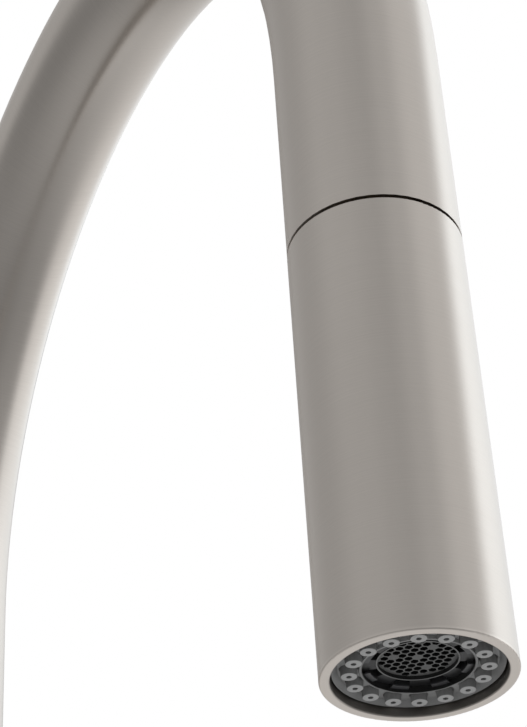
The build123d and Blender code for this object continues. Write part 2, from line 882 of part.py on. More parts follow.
pin_plane = Plane((pivot_x, -pin_length / 2, valve_height), x_dir=(1, 0, 0), z_dir=(0, 1, 0))
rotor_slot_width = 2 * (stem_r + thrust_gap)
with BuildPart() as cartridge_rotor:
    revolve(
        outline(
            VALVE,
            (rotor_foot, 0),
            (rotor_foot, disc_bore_r - cartridge_fit),
            (rotor_foot + rotor_flange_thickness, disc_bore_r - cartridge_fit),
            (rotor_foot + rotor_flange_thickness, rotor_bore_r - turning_gap),
            (cartridge_end, rotor_bore_r - turning_gap),
            (cartridge_end, 0),
        ),
        axis=valve_axis,
    )
    with BuildSketch(Plane((rotor_foot, 0, valve_height), x_dir=(0, 1, 0), z_dir=(1, 0, 0))):
        Rectangle(rotor_slot_width, rotor_slot_height)
    extrude(amount=cartridge_end - rotor_foot, mode=Mode.SUBTRACT)
    with BuildSketch(pin_plane):
        Circle(pin_r)
    extrude(amount=pin_length, mode=Mode.SUBTRACT)
finish(cartridge_rotor.part, "cartridge_rotor")

with BuildPart() as stem_pin:
    with BuildSketch(pin_plane):
        Circle(pin_r)
    extrude(amount=pin_length)
finish(stem_pin.part, "stem_pin")

with BuildPart() as cartridge_stem:
    revolve(
        outline(
            VALVE,
            (finger_end, 0),
            (finger_end, finger_r),
            (cartridge_shoulder, finger_r),
            (cartridge_shoulder, stem_r),
            (stem_end, stem_r),
            (stem_end, 0),
        ),
        axis=valve_axis,
    )
    with BuildSketch(pin_plane):
        Circle(pin_r + turning_gap)
    extrude(amount=pin_length, mode=Mode.SUBTRACT)
finish(cartridge_stem.part, "cartridge_stem")

with BuildPart() as cartridge_nut:
    revolve(
        bar(
            VALVE,
            cartridge_neck_r + cartridge_fit,
            nut_thread_r,
            cartridge_shoulder,
            cartridge_shoulder + cartridge_nut_length,
        ),
        axis=valve_axis,
    )
finish(cartridge_nut.part, "cartridge_nut")

# ================================================================ handle


def on_ball(radius, x):
    """Where a ball about the handle's pivot crosses the station x, as a point (x, height)."""
    return (x, sqrt(radius**2 - (x - pivot_x) ** 2))


def at_height(radius, height):
    """Where the ball's outer half crosses a height above the valve's axis."""
    return (pivot_x + sqrt(radius**2 - height**2), height)


socket_r = ball_r + easy_gap
bonnet_face = boss_reach + bonnet_flange
with BuildPart() as bonnet_ring:
    with BuildSketch(VALVE):
        with BuildLine():
            back = on_ball(socket_r, boss_reach)
            front = on_ball(socket_r, bonnet_face)
            Polyline(
                back,
                (boss_reach, boss_bore_r),
                (boss_reach - bonnet_spigot, boss_bore_r),
                (boss_reach - bonnet_spigot, spigot_r),
                (boss_reach, spigot_r),
                (boss_reach, boss_r),
                (bonnet_face, boss_r),
                front,
            )
            ThreePointArc(front, on_ball(socket_r, (boss_reach + bonnet_face) / 2), back)
        make_face()
    revolve(axis=valve_axis)
    bonnet_rims = bonnet_ring.edges().group_by(Axis.X)[-1].sort_by(SortBy.RADIUS)
    fillet(bonnet_rims[-1], radius=bonnet_round)
finish(bonnet_ring.part, "bonnet_ring")

hollow_r = ball_r - ball_wall
with BuildPart() as handle_hub:
    with BuildSketch(VALVE):
        with BuildLine():
            skirt_out = on_ball(ball_r, pivot_x + ball_reach)
            skirt_in = on_ball(hollow_r, pivot_x + ball_reach)
            neck_root = at_height(ball_r, neck_r)
            boss_root = at_height(hollow_r, hub_boss_r)
            ThreePointArc(skirt_out, at_height(ball_r, (neck_r + ball_r) / 2), neck_root)
            Polyline(
                neck_root,
                (neck_end, neck_r),
                (neck_end, 0),
                (stem_end, 0),
                (stem_end, stem_r),
                (hub_boss_start, stem_r),
                (hub_boss_start, hub_boss_r),
                boss_root,
            )
            ThreePointArc(boss_root, at_height(hollow_r, (hub_boss_r + hollow_r) / 2), skirt_in)
            Line(skirt_in, skirt_out)
        make_face()
    revolve(axis=valve_axis)
    fillet(handle_hub.edges().group_by(Axis.X)[-1], radius=neck_round)
    # seat and thread for the lever, thread for the grub screw, seat for the index plug
    with BuildSketch(Plane((lever_x, 0, valve_height + lever_seat))):
        Circle(lever_r + turning_gap)
    extrude(amount=neck_r, mode=Mode.SUBTRACT)
    with BuildSketch(Plane((lever_x, 0, valve_height))):
        Circle(lever_spigot_r)
    extrude(amount=lever_seat, mode=Mode.SUBTRACT)
    with BuildSketch(Plane((lever_x, 0, valve_height - neck_r))):
        Circle(grub_r)
    extrude(amount=neck_r, mode=Mode.SUBTRACT)
    with BuildSketch(Plane((lever_x, 0, valve_height - neck_r))):
        Circle(plug_r)
    extrude(amount=plug_length, mode=Mode.SUBTRACT)
finish(handle_hub.part, "handle_hub")

lever_foot = valve_height + lever_seat
with BuildPart() as lever_rod:
    with BuildSketch(Plane((lever_x, 0, lever_foot - lever_spigot))):
        Circle(lever_spigot_r)
    extrude(amount=lever_spigot)
    with BuildSketch(Plane((lever_x, 0, lever_foot))):
        Circle(lever_r)
    extrude(amount=lever_length)
    fillet(lever_rod.edges().group_by(Axis.Z)[-1], radius=0.45 * lever_r)
finish(lever_rod.part, "lever_rod")

grub_top = valve_height - stem_r
with BuildPart() as handle_set_screw:
    with BuildSketch(Plane((lever_x, 0, grub_top - grub_length))):
        Circle(grub_r)
    extrude(amount=grub_length)
    with BuildSketch(Plane((lever_x, 0, grub_top - grub_length))):
        RegularPolygon(grub_r / 2, 6)
    extrude(amount=grub_r, mode=Mode.SUBTRACT)
finish(handle_set_screw.part, "handle_set_screw")

with BuildPart() as index_plug:
    with BuildSketch(Plane((lever_x, 0, valve_height - neck_r))):
        Circle(plug_r)
    extrude(amount=plug_length)
finish(index_plug.part, "index_plug")

# ================================================================ spray head
rim = outlet_height
shell_bore_r = tube_r - shell_wall
shell_ceiling = shell_top - shell_top_wall
spool_z = rim + spool_height
with BuildPart() as spray_shell:
    revolve(
        outline(
            HEAD,
            (shell_bore_r, rim),
            (tube_r, rim),
            (tube_r, shell_top),
            (inlet_spigot_r + easy_gap, shell_top),
            (inlet_spigot_r + easy_gap, shell_ceiling),
            (shell_bore_r, shell_ceiling),
        ),
        axis=head_axis,
    )
    ends = spray_shell.edges().group_by(Axis.Z)
    fillet(ends[0] + ends[-1].sort_by(SortBy.RADIUS)[-1:], radius=shell_round)
    with BuildSketch(Plane((0, -reach, spool_z), x_dir=(1, 0, 0), z_dir=(0, 1, 0))):
        Circle(button_r + button_hole_gap)
    extrude(amount=tube_od, mode=Mode.SUBTRACT)
finish(spray_shell.part, "spray_shell")

inlet_flange_top = shell_top + inlet_flange_thickness
inlet_top_z = inlet_flange_top + hose_thread
valve_seat_z = rim + valve_seat_height
with BuildPart() as head_inlet:
    revolve(
        outline(
            HEAD,
            (inlet_bore_r, shell_ceiling - inlet_spigot + shell_top_wall),
            (inlet_spigot_r, shell_ceiling - inlet_spigot + shell_top_wall),
            (inlet_spigot_r, shell_top),
            (dock_flange_r, shell_top),
            (dock_flange_r, inlet_flange_top),
            (hose_thread_r, inlet_flange_top),
            (hose_thread_r, inlet_top_z),
            (valve_bore_r, inlet_top_z),
            (valve_bore_r, valve_seat_z),
            (inlet_bore_r, valve_seat_z),
        ),
        axis=head_axis,
    )
finish(head_inlet.part, "head_inlet")

strike_top = inlet_flange_top + strike_thickness
with BuildPart() as strike_ring:
    revolve(
        ring(HEAD, hose_thread_r + turning_gap, dock_flange_r, inlet_flange_top, strike_top),
        axis=head_axis,
    )
finish(strike_ring.part, "strike_ring")

check_top = valve_seat_z + check_valve_height
poppet_top = check_top - check_seat_thickness - poppet_gap
with BuildPart() as check_valve_body:
    revolve(
        outline(
            HEAD,
            (poppet_stem_r + thrust_gap, valve_seat_z),
            (check_valve_r, valve_seat_z),
            (check_valve_r, check_top),
            (check_seat_r, check_top),
            (check_seat_r, check_top - check_seat_thickness),
            (check_valve_r - check_wall, check_top - check_seat_thickness),
            (check_valve_r - check_wall, valve_seat_z + check_spider),
            (poppet_stem_r + thrust_gap, valve_seat_z + check_spider),
        ),
        axis=head_axis,
    )
    # water holes through the spider that guides the poppet
    with BuildSketch(Plane((0, -reach, valve_seat_z))):
        with PolarLocations((check_valve_r - check_wall + poppet_stem_r) / 2, check_hole_count):
            Circle(check_hole_r)
    extrude(amount=check_spider, mode=Mode.SUBTRACT)
finish(check_valve_body.part, "check_valve_body")

with BuildPart() as check_valve_poppet:
    revolve(
        outline(
            HEAD,
            (0, valve_seat_z + poppet_stem_tip),
            (poppet_stem_r, valve_seat_z + poppet_stem_tip),
            (poppet_stem_r, poppet_top - poppet_thickness),
            (poppet_r, poppet_top - poppet_thickness),
            (poppet_r, poppet_top),
            (0, poppet_top),
        ),
        axis=head_axis,
    )
finish(check_valve_poppet.part, "check_valve_poppet")

finish(
    coil(
        check_spring_r,
        spring_wire_r,
        check_spring_turns,
        valve_seat_z + check_spider,
        poppet_top - poppet_thickness,
        Location((0, -reach, 0)),
    ),
    "check_valve_spring",
)

with BuildPart() as inlet_screen:
    with BuildSketch(Plane((0, -reach, check_top))):
        Circle(check_valve_r)
        with Locations(*mesh_spots(screen_pitch, check_valve_r - screen_margin)):
            Circle(screen_hole_r, mode=Mode.SUBTRACT)
    extrude(amount=screen_thickness)
finish(inlet_screen.part, "inlet_screen")

# ---- hose end
washer_top = inlet_top_z + hose_washer_thickness
ferrule_foot = washer_top + turning_gap
ferrule_shoulder = ferrule_foot + ferrule_flange_thickness
sleeve_foot = ferrule_shoulder + ferrule_neck
with BuildPart() as hose_washer:
    revolve(ring(HEAD, washer_bore_r, hose_washer_r, inlet_top_z, washer_top), axis=head_axis)
finish(hose_washer.part, "hose_washer")

nut_foot = strike_top
nut_lid = ferrule_shoulder + turning_gap
with BuildPart() as hose_nut:
    with BuildSketch(Plane((0, -reach, nut_foot))):
        Circle(hose_nut_r)
        Rectangle(hose_nut_flats, tube_od, mode=Mode.INTERSECT)
    extrude(amount=nut_lid + hose_nut_lip - nut_foot)
    revolve(
        outline(
            HEAD,
            (0, nut_foot),
            (hose_thread_r, nut_foot),
            (hose_thread_r, nut_lid),
            (ferrule_neck_r + easy_gap, nut_lid),
            (ferrule_neck_r + easy_gap, nut_lid + hose_nut_lip),
            (0, nut_lid + hose_nut_lip),
        ),
        axis=head_axis,
        mode=Mode.SUBTRACT,
    )
finish(hose_nut.part, "hose_nut")

sleeve_top = sleeve_foot + ferrule_sleeve
with BuildPart() as hose_ferrule:
    revolve(
        outline(
            HEAD,
            (hose_bore_r - hose_barb_wall, ferrule_foot),
            (ferrule_flange_r, ferrule_foot),
            (ferrule_flange_r, ferrule_shoulder),
            (ferrule_neck_r, ferrule_shoulder),
            (ferrule_neck_r, sleeve_foot),
            (hose_r + ferrule_sleeve_wall, sleeve_foot),
            (hose_r + ferrule_sleeve_wall, sleeve_top),
            (hose_r, sleeve_top),
            (hose_r, sleeve_foot),
            (hose_bore_r, sleeve_foot),
            (hose_bore_r, sleeve_top),
            (hose_bore_r - hose_barb_wall, sleeve_top),
        ),
        axis=head_axis,
    )
finish(hose_ferrule.part, "hose_ferrule")

with BuildPart() as hose_tail:
    revolve(ring(HEAD, hose_bore_r, hose_r, sleeve_foot, arch_height), axis=head_axis)
finish(hose_tail.part, "hose_tail")

# ---- water way and diverter
foot_z = rim + waterway_foot
step_z = rim + waterway_step
waterway_r = shell_bore_r - waterway_fit
skirt_r = plate_r - plate_skirt_wall
inlet_foot_z = shell_ceiling - inlet_spigot + shell_top_wall
button_floor = button_seat - button_socket
button_travel = 2 * port_travel_r
mouth_floor = button_seat - button_travel - button_stop_gap
aerator_r = plate_sleeve_r - aerator_fit
chamber_mid_r = (plate_sleeve_r + plate_sleeve_wall + skirt_r) / 2
aerator_top = rim + aerator_foot + aerator_height
gasket_top = aerator_top + aerator_gasket_thickness
with BuildPart() as waterway:
    revolve(
        outline(
            HEAD,
            (0, gasket_top),
            (aerator_r, gasket_top),
            (aerator_r, foot_z),
            (skirt_r, foot_z),
            (skirt_r, step_z),
            (waterway_r, step_z),
            (waterway_r, shell_ceiling),
            (inlet_spigot_r, shell_ceiling),
            (inlet_spigot_r, inlet_foot_z),
            (0, inlet_foot_z),
        ),
        axis=head_axis,
    )
    # spool bore, with a wider mouth for the button's flange
    revolve(
        outline(
            SPOOL,
            (spool_bore_end, 0),
            (spool_bore_end, spool_bore_r),
            (mouth_floor, spool_bore_r),
            (mouth_floor, button_flange_r + easy_gap),
            (waterway_r + cut_over, button_flange_r + easy_gap),
            (waterway_r + cut_over, 0),
        ),
        axis=spool_axis,
        mode=Mode.SUBTRACT,
    )
    # feed from above, port to the aerator, port and gallery to the ring of nozzles
    with BuildSketch(Plane((0, -reach, spool_z))):
        Circle(feed_r)
    extrude(amount=inlet_foot_z - spool_z, mode=Mode.SUBTRACT)
    with BuildSketch(Plane((0, aerator_port - reach, gasket_top))):
        Circle(port_travel_r)
    extrude(amount=spool_z - gasket_top, mode=Mode.SUBTRACT)
    gallery_z = rim + spray_gallery
    with BuildSketch(Plane((0, spray_port - reach, gallery_z))):
        Circle(port_travel_r)
    extrude(amount=spool_z - gallery_z, mode=Mode.SUBTRACT)
    with BuildSketch(Plane((0, spray_port - reach, gallery_z), x_dir=(1, 0, 0), z_dir=(0, -1, 0))):
        Circle(port_travel_r)
    extrude(amount=chamber_mid_r + spray_port, mode=Mode.SUBTRACT)
    with BuildSketch(Plane((0, -chamber_mid_r - reach, foot_z))):
        Circle(spray_drop_r)
    extrude(amount=gallery_z - foot_z, mode=Mode.SUBTRACT)
finish(waterway.part, "waterway")

chamber_start, chamber_end = spool_chamber
land_end = chamber_end + land_overlap
seal_spots = ((spool_inner + chamber_start) / 2, (chamber_end + land_end) / 2)
with BuildPart() as diverter_spool:
    revolve(
        outline(
            SPOOL,
            (spool_inner, 0),
            (spool_inner, land_r),
            (chamber_start, land_r),
            (chamber_start, spool_core_r),
            (chamber_end, spool_core_r),
            (chamber_end, land_r),
            (land_end, land_r),
            (land_end, spool_core_r),
            (button_seat, spool_core_r),
            (button_seat, 0),
        ),
        axis=spool_axis,
    )
    with BuildSketch(SPOOL):
        for spot in seal_spots:
            with Locations((spot, land_r - seal_r)):
                Rectangle(2 * seal_r, 2 * seal_r)
    revolve(axis=spool_axis, mode=Mode.SUBTRACT)
finish(diverter_spool.part, "diverter_spool")

with BuildPart() as spool_seals:
    with BuildSketch(SPOOL):
        for spot in seal_spots:
            with Locations((spot, land_r - seal_r)):
                Circle(seal_r)
    revolve(axis=spool_axis)
finish(spool_seals.part, "spool_seals")

spring_plane = Plane(
    origin=(0, -reach, spool_z), x_dir=(1, 0, 0), z_dir=(0, 1, 0)
)
finish(
    coil(
        diverter_spring_r,
        spring_wire_r,
        diverter_spring_turns,
        spool_bore_end,
        spool_inner,
        spring_plane.location,
    ),
    "diverter_spring",
)

with BuildPart() as diverter_button:
    revolve(
        outline(
            SPOOL,
            (button_floor, spool_core_r),
            (button_floor, button_r - button_socket_step),
            (button_seat, button_r - button_socket_step),
            (button_seat, button_flange_r),
            (button_seat + button_flange, button_flange_r),
            (button_seat + button_flange, button_r),
            (tube_r + button_proud, button_r),
            (tube_r + button_proud, 0),
            (button_seat, 0),
            (button_seat, spool_core_r),
        ),
        axis=spool_axis,
    )
    fillet(diverter_button.edges().group_by(Axis.Y)[-1], radius=button_round)
finish(diverter_button.part, "diverter_button")

# ================================================================ spray face
face_z = rim + plate_face
plate_top = face_z + plate_thickness
sleeve_outer_r = plate_sleeve_r + plate_sleeve_wall
with BuildPart() as face_plate:
    revolve(
        outline(
            HEAD,
            (plate_sleeve_r, face_z - plate_lip),
            (plate_sleeve_r + plate_lip_edge, face_z - plate_lip),
            (plate_sleeve_r + plate_lip_foot, face_z),
            (plate_band_r, face_z),
            (plate_r, face_z - plate_band_drop),
            (plate_r, step_z),
            (skirt_r, step_z),
            (skirt_r, plate_top),
            (sleeve_outer_r, plate_top),
            (sleeve_outer_r, foot_z),
            (plate_sleeve_r, foot_z),
        ),
        axis=head_axis,
    )
    with BuildSketch(Plane((0, -reach, face_z))):
        with PolarLocations(nozzle_circle_r, nozzle_count, start_angle=nozzle_phase):
            Circle(nozzle_base_r + nozzle_fit)
    extrude(amount=plate_thickness, mode=Mode.SUBTRACT)
finish(face_plate.part, "face_plate")

nozzle_length = plate_top - rim - nozzle_tip
with BuildPart() as nozzle_ring:
    revolve(
        ring(HEAD, sleeve_outer_r, skirt_r, plate_top, plate_top + membrane_thickness),
        axis=head_axis,
    )
    with Locations((0, -reach, plate_top)):
        with PolarLocations(nozzle_circle_r, nozzle_count, start_angle=nozzle_phase):
            Cone(
                nozzle_tip_r,
                nozzle_base_r,
                nozzle_length,
                align=(Align.CENTER, Align.CENTER, Align.MAX),
            )
    fillet(nozzle_ring.edges().group_by(Axis.Z)[0], radius=nozzle_round)
    with BuildSketch(Plane((0, -reach, rim + nozzle_tip))):
        with PolarLocations(nozzle_circle_r, nozzle_count, start_angle=nozzle_phase):
            Circle(nozzle_bore_r)
    extrude(amount=nozzle_land, mode=Mode.SUBTRACT)
    with BuildSketch(Plane((0, -reach, rim + nozzle_tip + nozzle_land))):
        with PolarLocations(nozzle_circle_r, nozzle_count, start_angle=nozzle_phase):
            Circle(nozzle_chamber_r)
    extrude(amount=nozzle_length, mode=Mode.SUBTRACT)
finish(nozzle_ring.part, "nozzle_ring")

# ---- aerator
comb_bore_r = comb_r + comb_fit
aerator_z = rim + aerator_foot
land_z = aerator_top - aerator_land_thickness


def key_sectors(inner, outer, z, start, sweep_angle):
    """Ring sectors, one for each key, on a horizontal plane."""
    with BuildSketch(Plane((0, -reach, z))) as drawn:
        for k in range(key_count):
            first = start + 360 / key_count * k - sweep_angle / 2
            with BuildLine():
                outer_arc = CenterArc((0, 0), outer, first, sweep_angle)
                inner_arc = CenterArc((0, 0), inner, first, sweep_angle)
                Line(outer_arc @ 0, inner_arc @ 0)
                Line(outer_arc @ 1, inner_arc @ 1)
            make_face()
    return drawn.sketch


with BuildPart() as aerator_housing:
    revolve(
        outline(
            HEAD,
            (comb_bore_r, aerator_z),
            (aerator_r, aerator_z),
            (aerator_r, aerator_top),
            (aerator_land, aerator_top),
            (aerator_land, land_z),
            (comb_bore_r, land_z),
        ),
        axis=head_axis,
    )
    extrude(
        key_sectors(key_inner_r, aerator_r, aerator_z, key_phase, key_sweep), amount=-key_drop
    )
    extrude(
        key_sectors(comb_bore_r, key_inner_r, aerator_z, key_phase, key_sweep),
        amount=key_slot_depth,
        mode=Mode.SUBTRACT,
    )
finish(aerator_housing.part, "aerator_housing")

comb_z = rim + comb_face
comb_top = comb_z + comb_depth
solid_cells = [(0.0, 0.0)] + [
    (
        comb_pitch * sqrt(7) * cos(radians(comb_angle + degrees(asin(sqrt(3) / 2 / sqrt(7))) + turn)),
        comb_pitch * sqrt(7) * sin(radians(comb_angle + degrees(asin(sqrt(3) / 2 / sqrt(7))) + turn)),
    )
    for turn in (0, 120, 240)
]


def turned(spot, angle):
    """The point turned about the origin by the angle in degrees."""
    x, y = spot
    c, s = cos(radians(angle)), sin(radians(angle))
    return (c * x - s * y, s * x + c * y)


def is_solid(spot):
    """Whether a cell is one of the four that are moulded shut."""
    return any(abs(spot[0] - x) + abs(spot[1] - y) < comb_wall for x, y in solid_cells)


cells = [turned(spot, comb_angle) for spot in mesh_spots(comb_pitch, comb_open_r)]
cell_r = (comb_pitch - comb_wall) / sqrt(3)
with BuildSketch(Plane((0, -reach, comb_z))) as comb_cells:
    with Locations(*[spot for spot in cells if not is_solid(spot)]):
        RegularPolygon(cell_r, 6, rotation=comb_angle + 30)
    Circle(comb_open_r, mode=Mode.INTERSECT)

with BuildPart() as aerator_honeycomb:
    revolve(
        outline(
            HEAD,
            (0, comb_z),
            (comb_r - comb_lip, comb_z),
            (comb_r - comb_lip, rim + comb_foot),
            (comb_r, rim + comb_foot),
            (comb_r, comb_top),
            (0, comb_top),
        ),
        axis=head_axis,
    )
    extrude(comb_cells.sketch, amount=comb_depth, mode=Mode.SUBTRACT)
finish(aerator_honeycomb.part, "aerator_honeycomb")

aerator_screen_z = comb_top + aerator_screen_gap
with BuildPart() as aerator_screen:
    with BuildSketch(Plane((0, -reach, aerator_screen_z))):
        Circle(comb_r)
        with Locations(*mesh_spots(screen_pitch, comb_r - aerator_screen_margin)):
            Circle(screen_hole_r, mode=Mode.SUBTRACT)
    extrude(amount=screen_thickness)
finish(aerator_screen.part, "aerator_screen")

with BuildPart() as aerator_gasket:
    revolve(
        ring(
            HEAD,
            aerator_gasket_bore_r,
            aerator_r,
            aerator_top,
            gasket_top,
        ),
        axis=head_axis,
    )
finish(aerator_gasket.part, "aerator_gasket")
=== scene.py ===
import json
import math

import bpy
from mathutils import Matrix, Vector


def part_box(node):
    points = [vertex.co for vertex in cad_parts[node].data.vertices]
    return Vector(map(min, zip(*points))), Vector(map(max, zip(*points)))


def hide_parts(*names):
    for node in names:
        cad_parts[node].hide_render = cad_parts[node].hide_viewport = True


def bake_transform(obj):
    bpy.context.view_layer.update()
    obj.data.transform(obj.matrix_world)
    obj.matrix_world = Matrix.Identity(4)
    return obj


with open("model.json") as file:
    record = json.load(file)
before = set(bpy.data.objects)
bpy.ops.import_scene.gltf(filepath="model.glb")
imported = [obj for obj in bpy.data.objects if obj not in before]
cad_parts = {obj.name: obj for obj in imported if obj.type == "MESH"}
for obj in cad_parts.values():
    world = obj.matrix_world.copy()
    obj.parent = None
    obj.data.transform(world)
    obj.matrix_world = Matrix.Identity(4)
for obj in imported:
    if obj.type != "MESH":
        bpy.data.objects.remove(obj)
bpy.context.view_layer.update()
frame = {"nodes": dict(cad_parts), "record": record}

scene = bpy.context.scene
nodes = frame["nodes"]
slot_of = {part["node"]: part["material_slot"] for part in frame["record"]["subparts"]}
MM = 0.001

# The gooseneck: two upright legs under half a circle, read from the solids. Metres, as everywhere below.
shell_low, shell_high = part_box("spray_shell")
tail_low, tail_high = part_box("hose_tail")
REACH = -(shell_low.y + shell_high.y) / 2
ARCH_R = REACH / 2
ARCH_Z = tail_high.z
MOUTH_Z = shell_low.z

# ---------------------------------------------------------------- camera
# Fitted to the photograph's edges, rim and nozzle ring.
CAMERA_AT = Vector((-0.16178409, -0.48033787, 0.06212306))
CAMERA_RIGHT = Vector((0.891102, -0.450895, -0.051291))
CAMERA_UP = Vector((-0.224782, -0.536747, 0.813250))
LENS = 102.6879
SENSOR = 36.0
CLIP = (0.01, 20.0)

camera_data = bpy.data.cameras.new("camera")
camera_data.lens = LENS
camera_data.sensor_width = SENSOR
camera_data.sensor_fit = "AUTO"
camera_data.clip_start, camera_data.clip_end = CLIP
camera = bpy.data.objects.new("camera", camera_data)
scene.collection.objects.link(camera)
backwards = CAMERA_RIGHT.cross(CAMERA_UP).normalized()
turn = Matrix((CAMERA_RIGHT, CAMERA_UP, backwards)).transposed().to_4x4()
camera.matrix_world = Matrix.Translation(CAMERA_AT) @ turn
scene.camera = camera


# ---------------------------------------------------------------- node helpers
class Tree:
    """Short names for the shader nodes used below."""

    def __init__(self, tree):
        self.tree = tree

    def node(self, kind, **settings):
        made = self.tree.nodes.new(kind)
        for name, value in settings.items():
            setattr(made, name, value)
        return made

    def feed(self, socket, value):
        if isinstance(value, bpy.types.NodeSocket):
            self.tree.links.new(value, socket)
        else:
            socket.default_value = value

    def math(self, operation, a, b=0.0, c=0.0):
        made = self.node("ShaderNodeMath", operation=operation)
        for socket, value in zip(made.inputs, (a, b, c)):
            self.feed(socket, value)
        return made.outputs[0]

    def product(self, first, *others):
        for other in others:
            first = self.math("MULTIPLY", first, other)
        return first

    def vector(self, x, y, z):
        made = self.node("ShaderNodeCombineXYZ")
        for socket, value in zip(made.inputs, (x, y, z)):
            self.feed(socket, value)
        return made.outputs[0]

    def split(self, vector):
        made = self.node("ShaderNodeSeparateXYZ")
        self.feed(made.inputs[0], vector)
        return made.outputs[0], made.outputs[1], made.outputs[2]

    def ramp(self, value, low, high, start=0.0, end=1.0, smooth=False):
        """start to end as value goes from low to high, held beyond them."""
        made = self.node("ShaderNodeMapRange", clamp=True)
        made.interpolation_type = "SMOOTHSTEP" if smooth else "LINEAR"
        for socket, item in zip(made.inputs, (value, low, high, start, end)):
            self.feed(socket, item)
        return made.outputs[0]

    def noise(self, vector, scale, detail=2.0, roughness=0.5):
        made = self.node("ShaderNodeTexNoise")
        self.feed(made.inputs["Vector"], vector)
        made.inputs["Scale"].default_value = scale
        made.inputs["Detail"].default_value = detail
        made.inputs["Roughness"].default_value = roughness
        return made.outputs["Fac"]

    def stretched(self, vector, across, along):
        """The vector with its noise drawn out: scale across in its first two parts, along in the third."""
        made = self.node("ShaderNodeMapping")
        self.feed(made.inputs["Vector"], vector)
        made.inputs["Scale"].default_value = (across, across, along)
        return made.outputs[0]

    def mix(self, factor, a, b):
        """Colour a where factor is 0, b where it is 1."""
        made = self.node("ShaderNodeMix", data_type="RGBA")
        made.clamp_factor = True
        for socket, value in zip((made.inputs[0], made.inputs[6], made.inputs[7]), (factor, a, b)):
            self.feed(socket, value)
        return made.outputs[2]

    def tinted(self, colour, light):
        """A fixed colour, made lighter or darker by light."""
        made = self.node("ShaderNodeVectorMath", operation="SCALE")
        made.inputs[0].default_value = colour
        self.feed(made.inputs["Scale"], light)
        return made.outputs[0]

    def bump(self, height, distance, strength=1.0, under=None):
        made = self.node("ShaderNodeBump")
        made.inputs["Strength"].default_value = strength
        made.inputs["Distance"].default_value = distance
        self.feed(made.inputs["Height"], height)
        if under:
            self.feed(made.inputs["Normal"], under)
        return made.outputs[0]

    def place(self):
        """Where a point of the part lies in the shared frame."""
        return self.node("ShaderNodeTexCoord").outputs["Object"]


def new_material(name):
    """An empty node material and its helper, with the principled shader in place."""
    made = bpy.data.materials.new(name)
    made.use_nodes = True
    tree = Tree(made.node_tree)
    shader = made.node_tree.nodes["Principled BSDF"]
    return made, tree, shader


def shade(colour, factor=1.0):
    return (colour[0] * factor, colour[1] * factor, colour[2] * factor, 1)


# ---------------------------------------------------------------- where things lie
def from_head_axis(t, x, y):
    """Distance from the spray head's axis."""
    dy = t.math("ADD", y, REACH)
    return t.math("SQRT", t.math("MULTIPLY_ADD", x, x, t.math("MULTIPLY", dy, dy)))


def along_arch(t, x, y, z):
    """Straightened gooseneck: angle round the arch, distance from its centre, length run along the tube."""
    over = t.math("SUBTRACT", z, ARCH_Z)
    rise = t.math("MAXIMUM", over, 0.0)
    dy = t.math("ADD", y, ARCH_R)
    angle = t.math("ARCTAN2", rise, dy)
    length = t.math("MULTIPLY_ADD", angle, ARCH_R, t.math("MINIMUM", over, 0.0))
    out = t.math("SQRT", t.math("MULTIPLY_ADD", dy, dy, t.math("MULTIPLY", rise, rise)))
    return angle, out, length


def painted_shade_by_facing(t, low, high, side, flat):
    """Painted shade by facing: side on walls that stand upright, flat on faces that lie level."""
    _, _, up = t.split(t.node("ShaderNodeNewGeometry").outputs["Normal"])
    return t.ramp(t.math("ABSOLUTE", up), low, high, side, flat)


# ---------------------------------------------------------------- painted light and shade of the spray face
# Each is a factor of painted light and shade on its material's colour. Edges are where one value has gone over
# to the next:
# out from the head's axis, or up from the rim.
BORE_EDGE = (14.25 * MM, 14.5 * MM)
RIM_EDGE = (0.2 * MM, 0.7 * MM)
SLEEVE_EDGE = (9.04 * MM, 9.12 * MM)
PLATE_LIP_EDGE = (9.2 * MM, 9.8 * MM)
PLATE_OUTER_EDGE = (11.8 * MM, 13.0 * MM)
COMB_LIP_EDGE = (6.4 * MM, 6.6 * MM)
COMB_FACE = 3.5 * MM
CELL_EDGE = (COMB_FACE + 0.1 * MM, COMB_FACE + 0.6 * MM)
KEY_FACE = 2.35 * MM
KEY_EDGE = (KEY_FACE + 0.1 * MM, KEY_FACE + 0.3 * MM)


def outwards(t, x, y, edge, inner, outer):
    return t.ramp(from_head_axis(t, x, y), *edge, inner, outer)


def upwards(t, z, edge, below, above):
    low, high = edge
    return t.ramp(z, MOUTH_Z + low, MOUTH_Z + high, below, above)


def shell_painted_shade_and_light(t, x, y, z):
    """The spray shell: painted shade darkens the bore, painted light brightens the rim face."""
    bore = outwards(t, x, y, BORE_EDGE, 0.5, 1.0)
    rim = upwards(t, z, RIM_EDGE, 1.16, 1.0)
    return t.product(bore, rim)


def post_painted_shade_and_light(t, x, y, z):
    """Silicone posts: painted light on the flat tips, painted shade on the flanks."""
    return painted_shade_by_facing(t, 0.35, 0.9, 0.5, 1.06)


def plate_painted_shade_and_light(t, x, y, z):
    """The face plate: painted shade makes the sleeve round the aerator black and dims the lip, painted light
    makes the plate beyond pale, and painted shade darkens its edge.
    """
    lip = outwards(t, x, y, PLATE_LIP_EDGE, 0.7, 1.22)
    sleeve = outwards(t, x, y, SLEEVE_EDGE, 0.07, 1.0)
    edge = outwards(t, x, y, PLATE_OUTER_EDGE, 1.0, 0.66)
    return t.product(lip, sleeve, edge)


def comb_painted_shade(t, x, y, z):
    """The honeycomb: dim front edges in a paler lip, and painted shade deep inside the cells and on their
    upright walls.
    """
    deep = upwards(t, z, CELL_EDGE, 1.0, 0.06)
    lip = outwards(t, x, y, COMB_LIP_EDGE, 0.75, 1.1)
    return t.product(deep, lip, painted_shade_by_facing(t, 0.5, 0.9, 0.12, 1.0))


def housing_painted_light(t, x, y, z):
    """The black aerator housing: painted light makes its key faces paler."""
    return upwards(t, z, KEY_EDGE, 3.2, 1.0)


